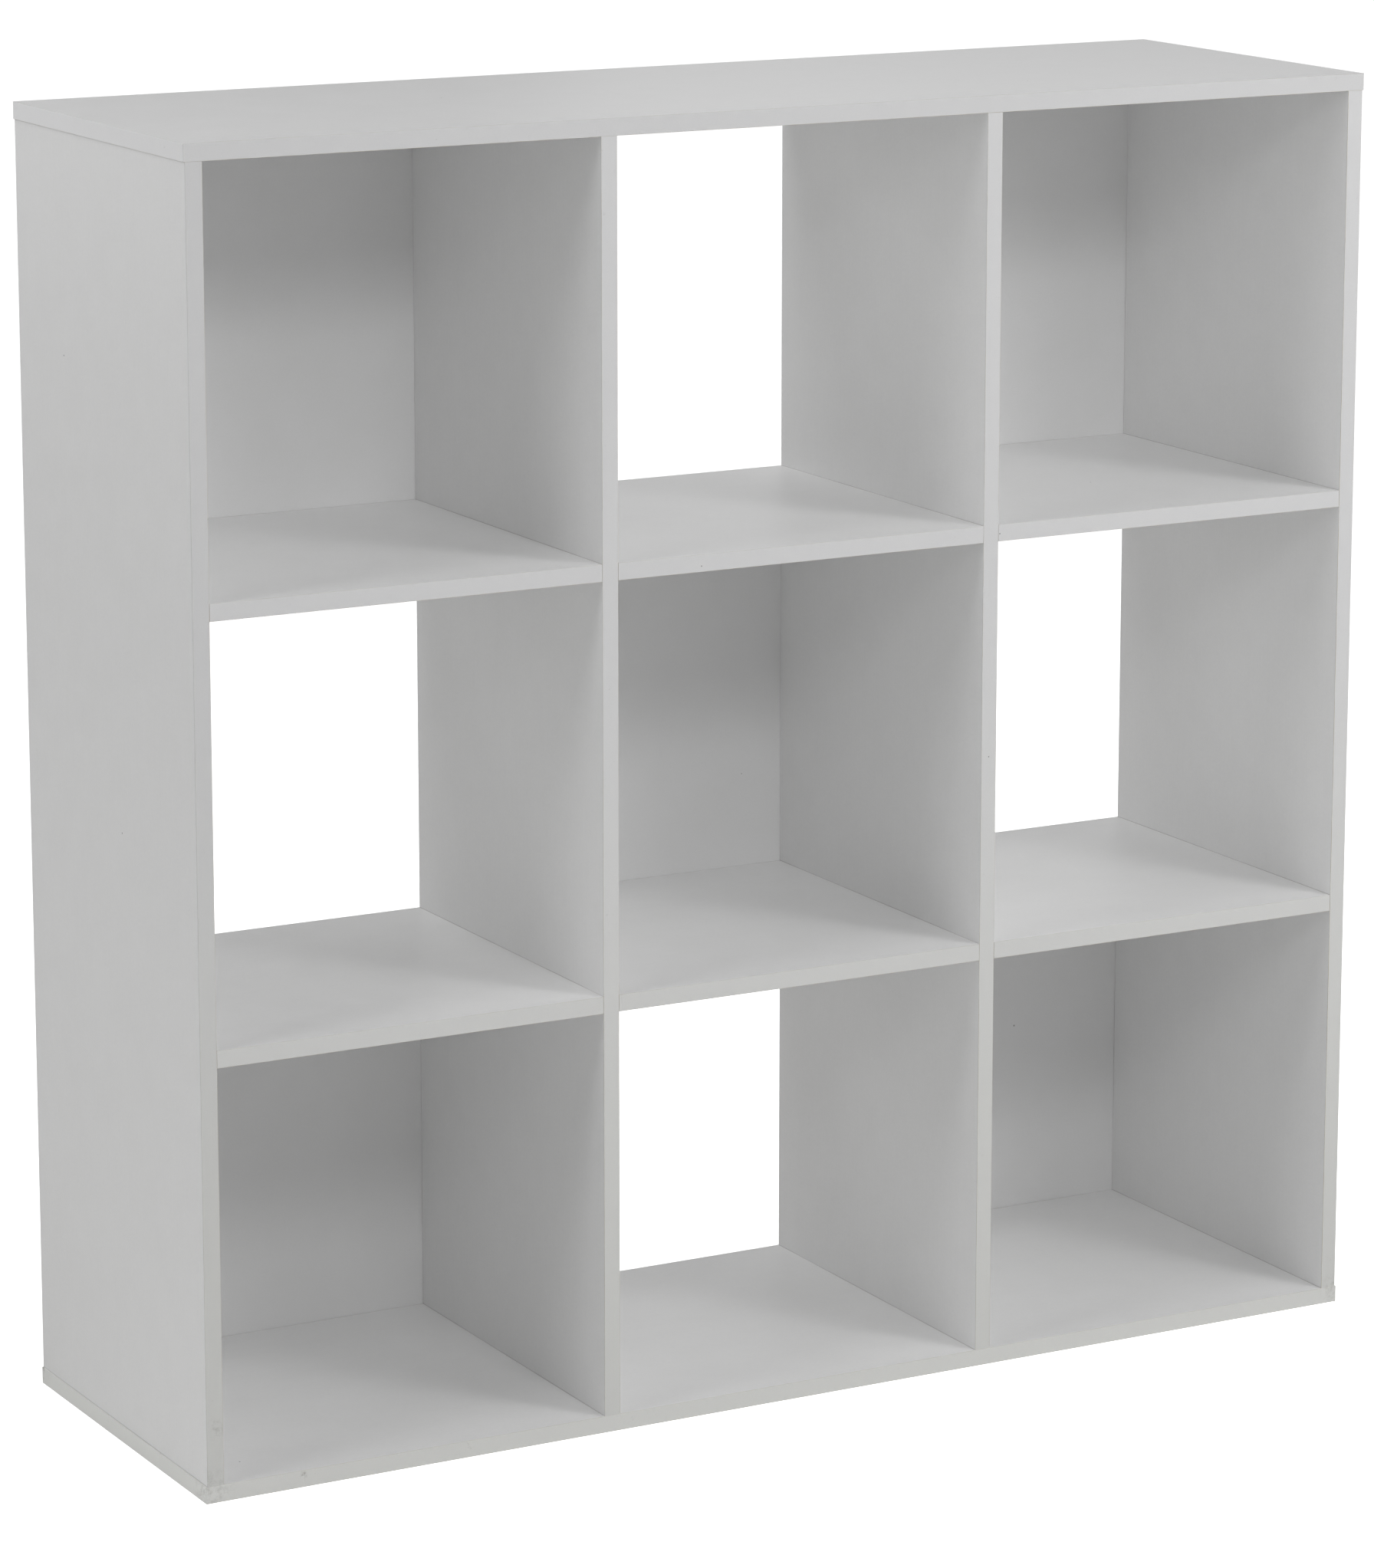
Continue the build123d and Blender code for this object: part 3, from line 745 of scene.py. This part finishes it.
class UNIT_OT_backs(bpy.types.Operator):
    """Makes the thin backs, painted in front and bare behind"""

    bl_idname = "cube_unit.backs"
    bl_label = "Make Backs"

    def execute(self, context):
        settings = context.scene.cube_backs
        materials = [back_front_finish(settings), hardboard_finish(settings)]
        for node in BACKS:
            bm = back_sheet(node, settings)
            finish_piece(node.replace("back_", "back_sheet_"), bm, materials, [node])
        return {"FINISHED"}


# Fittings.
def turned(profile, facets):
    """A body turned about Z from (radius, height) points, closed at both ends."""
    bm = bmesh.new()
    verts = [bm.verts.new((radius, 0, height)) for radius, height in profile]
    edges = [bm.edges.new(pair) for pair in zip(verts, verts[1:])]
    bmesh.ops.spin(
        bm, geom=verts + edges, cent=(0, 0, 0), axis=(0, 0, 1), dvec=(0, 0, 0), angle=math.tau,
        steps=facets, use_merge=True, use_duplicate=False,
    )
    bmesh.ops.remove_doubles(bm, verts=bm.verts[:], dist=1e-6)
    bmesh.ops.recalc_face_normals(bm, faces=bm.faces[:])
    return bm


def facing(origin, direction, spin=0.0):
    """A matrix that stands local Z along a direction at an origin."""
    turn = Vector(direction).to_track_quat("Z", "Y").to_matrix().to_4x4()
    return Matrix.Translation(origin) @ turn @ Matrix.Rotation(spin, 4, "Z")


def cross_recess(bm, centre_z, arm, width, depth, long_arm=None):
    """Sinks a cross for a driver into the flat end at a local height."""
    long_arm = long_arm or arm
    for point, normal in (
        ((width / 2, 0, 0), (1, 0, 0)), ((-width / 2, 0, 0), (1, 0, 0)), ((0, width / 2, 0), (0, 1, 0)),
        ((0, -width / 2, 0), (0, 1, 0)), ((long_arm, 0, 0), (1, 0, 0)), ((-long_arm, 0, 0), (1, 0, 0)),
        ((0, arm, 0), (0, 1, 0)), ((0, -arm, 0), (0, 1, 0)),
    ):
        flat = [face for face in bm.faces if all(abs(vertex.co.z - centre_z) < 1e-6 for vertex in face.verts)]
        geometry = set(flat)
        for face in flat:
            geometry.update(face.edges)
            geometry.update(face.verts)
        bmesh.ops.bisect_plane(bm, geom=list(geometry), dist=1e-7, plane_co=point, plane_no=normal)
    sunk = []
    for face in bm.faces:
        if not all(abs(vertex.co.z - centre_z) < 1e-6 for vertex in face.verts):
            continue
        middle = face.calc_center_median()
        in_long_arm = abs(middle.x) < long_arm and abs(middle.y) < width / 2
        in_arm = abs(middle.y) < arm and abs(middle.x) < width / 2
        if in_long_arm or in_arm:
            sunk.append(face)
    made = bmesh.ops.extrude_face_region(bm, geom=sunk)
    verts = [item for item in made["geom"] if isinstance(item, bmesh.types.BMVert)]
    bmesh.ops.translate(bm, vec=(0, 0, -depth), verts=verts)
    middle = Vector((0, 0, centre_z - depth))
    bmesh.ops.scale(bm, vec=(0.82, 0.82, 1), verts=verts, space=Matrix.Translation(-middle))
    bmesh.ops.delete(bm, geom=[face for face in sunk if face.is_valid], context="FACES")


def stamp(bm, body, matrix):
    """Adds a copy of a small body at a place."""
    mesh = bpy.data.meshes.new("stamp")
    body.to_mesh(mesh)
    mesh.transform(matrix)
    bm.from_mesh(mesh)
    bpy.data.meshes.remove(mesh)


class UNIT_OT_nails(bpy.types.Operator):
    """Makes the nails that hold the backs, with slightly domed round heads"""

    bl_idname = "cube_unit.nails"
    bl_label = "Drive Nails"

    def execute(self, context):
        sizes = context.scene.cube_fittings
        body = turned(
            [(0, -15.6 * MM), (0.68 * MM, -14.2 * MM), (0.68 * MM, -0.02 * MM), (1.52 * MM, 0.0),
             (1.6 * MM, 0.12 * MM), (1.52 * MM, 0.28 * MM), (1.0 * MM, 0.43 * MM), (0, 0.48 * MM)],
            sizes.nail_facets,
        )
        bm = bmesh.new()
        for low, high in clumps("back_nails", FITTING_SPAN):
            middle = (low + high) / 2
            stamp(bm, body, facing((middle.x, BACK_REAR_Y, middle.z), (0, 1, 0)))
        body.free()
        wire = metal_finish("nail_wire", (0.50, 0.49, 0.47), 0.36, 2.0)
        finish_piece("nails", bm, [wire], ["back_nails"], True)
        return {"FINISHED"}


class UNIT_OT_cams(bpy.types.Operator):
    """Makes the cam locks, each with a driver recess in its face"""

    bl_idname = "cube_unit.cams"
    bl_label = "Fit Cams"

    def execute(self, context):
        sizes = context.scene.cube_fittings
        material = metal_finish("cam_casting", (0.56, 0.57, 0.59), 0.42, 5.0)
        radius, face = 7.28 * MM, -0.2 * MM
        floor = face - 0.25 * MM
        body = turned(
            [(0, -9.0 * MM), (6.9 * MM, -9.0 * MM), (6.9 * MM, -2.2 * MM), (radius, -2.0 * MM),
             (radius, face - 0.35 * MM), (radius - 0.35 * MM, face), (5.9 * MM, face), (5.7 * MM, floor),
             (0, floor)],
            sizes.facets,
        )
        flat = [side for side in body.faces if all(abs(vertex.co.z - floor) < 1e-7 for vertex in side.verts)]
        bmesh.ops.dissolve_faces(body, faces=flat)
        cross_recess(body, floor, 2.6 * MM, 1.5 * MM, sizes.slot_depth, 4.1 * MM)
        shelf, upright = bmesh.new(), bmesh.new()
        for index, (low, high) in enumerate(clumps("shelf_cam_locks", FITTING_SPAN)):
            middle = (low + high) / 2
            mouth = (middle.x, middle.y, low.z - 0.2 * MM)
            stamp(shelf, body, facing(mouth, (0, 0, -1), 0.35 * math.sin(index * 2.3)))
        for index, (low, high) in enumerate(clumps("upright_cam_locks", FITTING_SPAN)):
            middle = (low + high) / 2
            mouth = (high.x + 0.2 * MM, middle.y, middle.z)
            stamp(upright, body, facing(mouth, (1, 0, 0), 0.3 * math.sin(index * 1.7)))
        body.free()
        finish_piece("shelf_cams", shelf, [material], ["shelf_cam_locks"], True)
        finish_piece("upright_cams", upright, [material], ["upright_cam_locks"], True)
        return {"FINISHED"}


class UNIT_OT_caps(bpy.types.Operator):
    """Makes the dished caps that cover the cams of the uprights"""

    bl_idname = "cube_unit.caps"
    bl_label = "Press Caps"

    def execute(self, context):
        sizes = context.scene.cube_fittings
        bm = bmesh.new()
        dish = sizes.cap_dish
        profile = [
            (0, 0.02 * MM), (8.45 * MM, 0.02 * MM), (8.5 * MM, 0.14 * MM), (8.42 * MM, 0.34 * MM),
            (8.15 * MM, 0.50 * MM), (7.7 * MM, 0.58 * MM), (7.1 * MM, 0.58 * MM),
            (6.6 * MM, 0.58 * MM - dish * 0.7), (5.0 * MM, 0.58 * MM - dish),
            (1.0 * MM, 0.58 * MM - dish), (0, 0.58 * MM - dish),
        ]
        body = turned(profile, sizes.facets + 16)
        for low, high in clumps("cam_caps", FITTING_SPAN):
            middle = (low + high) / 2
            stamp(bm, body, facing((high.x - 0.6 * MM, middle.y, middle.z), (1, 0, 0)))
        body.free()
        finish_piece("caps", bm, [cap_finish()], ["cam_caps"], True)
        return {"FINISHED"}


class UNIT_OT_screws(bpy.types.Operator):
    """Makes the screws under the bottom board and in the wall angles"""

    bl_idname = "cube_unit.screws"
    bl_label = "Drive Screws"

    def execute(self, context):
        sizes = context.scene.cube_fittings
        material = metal_finish("screw_plating", (0.62, 0.62, 0.61), 0.28, 7.0)
        base = turned(
            [(0, -39 * MM), (1.0 * MM, -37 * MM), (1.9 * MM, -34 * MM), (1.9 * MM, -2.0 * MM),
             (3.72 * MM, -0.22 * MM),
             (3.72 * MM, -0.06 * MM), (3.62 * MM, 0.0), (2.9 * MM, 0.0), (0, 0.0)],
            sizes.facets,
        )
        cross_recess(base, 0.0, 1.75 * MM, 0.8 * MM, 1.5 * MM)
        bm = bmesh.new()
        for index, (low, high) in enumerate(clumps("base_screws", SCREW_SPAN)):
            middle = (low + high) / 2
            stamp(bm, base, facing((middle.x, middle.y, low.z), (0, 0, -1), index * 0.9))
        base.free()
        finish_piece("floor_screws", bm, [material], ["base_screws"], True)
        pan = turned(
            [(0, -9.8 * MM), (0.9 * MM, -9.0 * MM), (1.68 * MM, -7.5 * MM), (1.68 * MM, 0.0), (3.2 * MM, 0.0),
             (3.3 * MM, 0.25 * MM), (3.25 * MM, 0.7 * MM), (2.95 * MM, 1.25 * MM), (2.4 * MM, 1.62 * MM),
             (1.7 * MM, 1.78 * MM), (0, 1.78 * MM)],
            sizes.facets,
        )
        cross_recess(pan, 1.78 * MM, 1.35 * MM, 0.7 * MM, 1.2 * MM)
        bm = bmesh.new()
        angle_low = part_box("wall_angle_screws")[0].z
        for index, (low, high) in enumerate(clumps("wall_angle_screws", SCREW_SPAN)):
            middle = (low + high) / 2
            stamp(bm, pan, facing((middle.x, middle.y, angle_low + 1.8 * MM), (0, 0, -1), 0.5 + index))
        pan.free()
        finish_piece("angle_screws", bm, [material], ["wall_angle_screws"], True)
        return {"FINISHED"}


class UNIT_OT_metalwork(bpy.types.Operator):
    """Gives the wall angles, cam bolts and dowels their metal and wood"""

    bl_idname = "cube_unit.metalwork"
    bl_label = "Finish Metal And Wood"

    def execute(self, context):
        repaint("wall_angles", metal_finish("angle_zinc", (0.58, 0.59, 0.60), 0.38, 3.0, 0.7))
        bolt = metal_finish("bolt_steel", (0.60, 0.60, 0.60), 0.3, 4.0)
        for node in ("top_cam_bolts", "side_cam_bolts", "divider_cam_bolts"):
            repaint(node, bolt)
        beech = beech_finish()
        for node in ("upright_dowels", "side_dowels", "divider_dowels"):
            repaint(node, beech)
        return {"FINISHED"}


# Stage. Each soft light: turn from straight in front, distance, height, size and power.
SOFT_LIGHTS = [
    ("key_light", -8, 2.7, 2.7, 1.2, 16.5),
    ("key_core", -8, 2.7, 2.1, 0.5, 10.4),
    ("right_core", 32, 2.7, 2.8, 0.5, 10.0),
    ("right_fill", 32, 2.7, 1.8, 1.2, 13.8),
    ("low_fill", 55, 2.7, 1.0, 1.2, 10.5),
    ("left_light", -90, 2.2, 2.3, 1.2, 8.4),
    ("left_core", -76, 2.2, 1.8, 0.5, 5.8),
    ("overhead_light", -119.1, 1.03, 2.6, 1.2, 8.6),
    ("rear_left_light", -140, 2.2, 1.2, 1.2, 5.3),
    ("rear_right_light", 140, 2.2, 1.2, 1.2, 3.3),
]


class UNIT_OT_studio(bpy.types.Operator):
    """Sets the pale floor, the soft lights and the camera"""

    bl_idname = "cube_unit.studio"
    bl_label = "Set Studio"

    def execute(self, context):
        scene = context.scene
        settings = scene.cube_studio
        finish = Finish("studio_floor", 1.0, Specular_IOR_Level=0.0)
        pale = tuple(settings.floor)
        finish.shine("Base Color", finish.mix(finish.grain(6, 2), tint(pale, 0.995, 0.995, 0.995), pale))
        seen = finish.node("LightPath", output="Is Camera Ray")
        finish.shine("Emission Color", finish.mix(seen, (0, 0, 0), (1, 1, 1)))
        finish.surface.inputs["Emission Strength"].default_value = settings.floor_glow
        bm = bmesh.new()
        bmesh.ops.create_grid(bm, x_segments=2, y_segments=2, size=60)
        mesh = bpy.data.meshes.new("studio_floor")
        bm.to_mesh(mesh)
        bm.free()
        mesh.materials.append(finish.material)
        floor = bpy.data.objects.new("studio_floor", mesh)
        scene.collection.objects.link(floor)
        world = bpy.data.worlds.new("studio_room")
        world.use_nodes = True
        background = next(node for node in world.node_tree.nodes if node.type == "BACKGROUND")
        background.inputs["Color"].default_value = (1, 1, 1, 1)
        seen = world.node_tree.nodes.new("ShaderNodeLightPath")
        level = world.node_tree.nodes.new("ShaderNodeMapRange")
        level.inputs["To Min"].default_value = settings.room
        level.inputs["To Max"].default_value = 1.05
        world.node_tree.links.new(seen.outputs["Is Camera Ray"], level.inputs["Value"])
        world.node_tree.links.new(level.outputs["Result"], background.inputs["Strength"])
        scene.world = world
        for name, turn, distance, height, size, power in SOFT_LIGHTS:
            light = bpy.data.lights.new(name, "AREA")
            light.shape = "SQUARE"
            light.size = size
            light.energy = power
            lamp = bpy.data.objects.new(name, light)
            turn = math.radians(turn)
            lamp.location = (math.sin(turn) * distance, -math.cos(turn) * distance, height)
            aim = lamp.location - Vector((0, 0, HEIGHT / 2))
            lamp.rotation_euler = aim.to_track_quat("Z", "Y").to_euler()
            scene.collection.objects.link(lamp)
        camera_data = bpy.data.cameras.new("camera")
        camera_data.lens = settings.lens
        camera_data.shift_y = -0.09
        camera_data.dof.use_dof = False
        camera = bpy.data.objects.new("camera", camera_data)
        camera.location = settings.place
        camera.rotation_euler = (math.pi / 2 - settings.tilt, 0, -settings.turn)
        scene.collection.objects.link(camera)
        scene.camera = camera
        scene.view_settings.view_transform = "Standard"
        return {"FINISHED"}


class UNIT_PT_sidebar(bpy.types.Panel):
    """Lists the steps that dress the unit"""

    bl_idname = "UNIT_PT_sidebar"
    bl_label = "Cube Storage Unit"
    bl_space_type = "VIEW_3D"
    bl_region_type = "UI"
    bl_category = "Cube Unit"

    def draw(self, context):
        for title, settings, operators in SECTIONS:
            box = self.layout.box()
            box.label(text=title)
            group = getattr(context.scene, settings)
            for name in group.bl_rna.properties.keys():
                if name not in {"rna_type", "name"}:
                    box.prop(group, name)
            for operator in operators:
                box.operator(operator.bl_idname)


SETTINGS = {
    "cube_boards": BoardFinish,
    "cube_edging": EdgingFinish,
    "cube_backs": BackFinish,
    "cube_fittings": FittingSizes,
    "cube_studio": StudioSettings,
}
SECTIONS = [
    ("Boards", "cube_boards", [UNIT_OT_boards]),
    ("Edging", "cube_edging", [UNIT_OT_edging]),
    ("Backs", "cube_backs", [UNIT_OT_backs]),
    ("Fittings", "cube_fittings", [
        UNIT_OT_nails, UNIT_OT_cams, UNIT_OT_caps, UNIT_OT_screws, UNIT_OT_metalwork,
    ]),
    ("Studio", "cube_studio", [UNIT_OT_studio]),
]
OPERATORS = [operator for _, _, operators in SECTIONS for operator in operators]


def register():
    for group in SETTINGS.values():
        bpy.utils.register_class(group)
    for name, group in SETTINGS.items():
        setattr(bpy.types.Scene, name, PointerProperty(type=group))
    for operator in OPERATORS:
        bpy.utils.register_class(operator)
    bpy.utils.register_class(UNIT_PT_sidebar)


def unregister():
    bpy.utils.unregister_class(UNIT_PT_sidebar)
    for operator in reversed(OPERATORS):
        bpy.utils.unregister_class(operator)
    for name in SETTINGS:
        delattr(bpy.types.Scene, name)
    for group in reversed(SETTINGS.values()):
        bpy.utils.unregister_class(group)


def main():
    register()
    for operator in OPERATORS:
        family, name = operator.bl_idname.split(".")
        getattr(getattr(bpy.ops, family), name)()


if __name__ == "__main__":
    main()
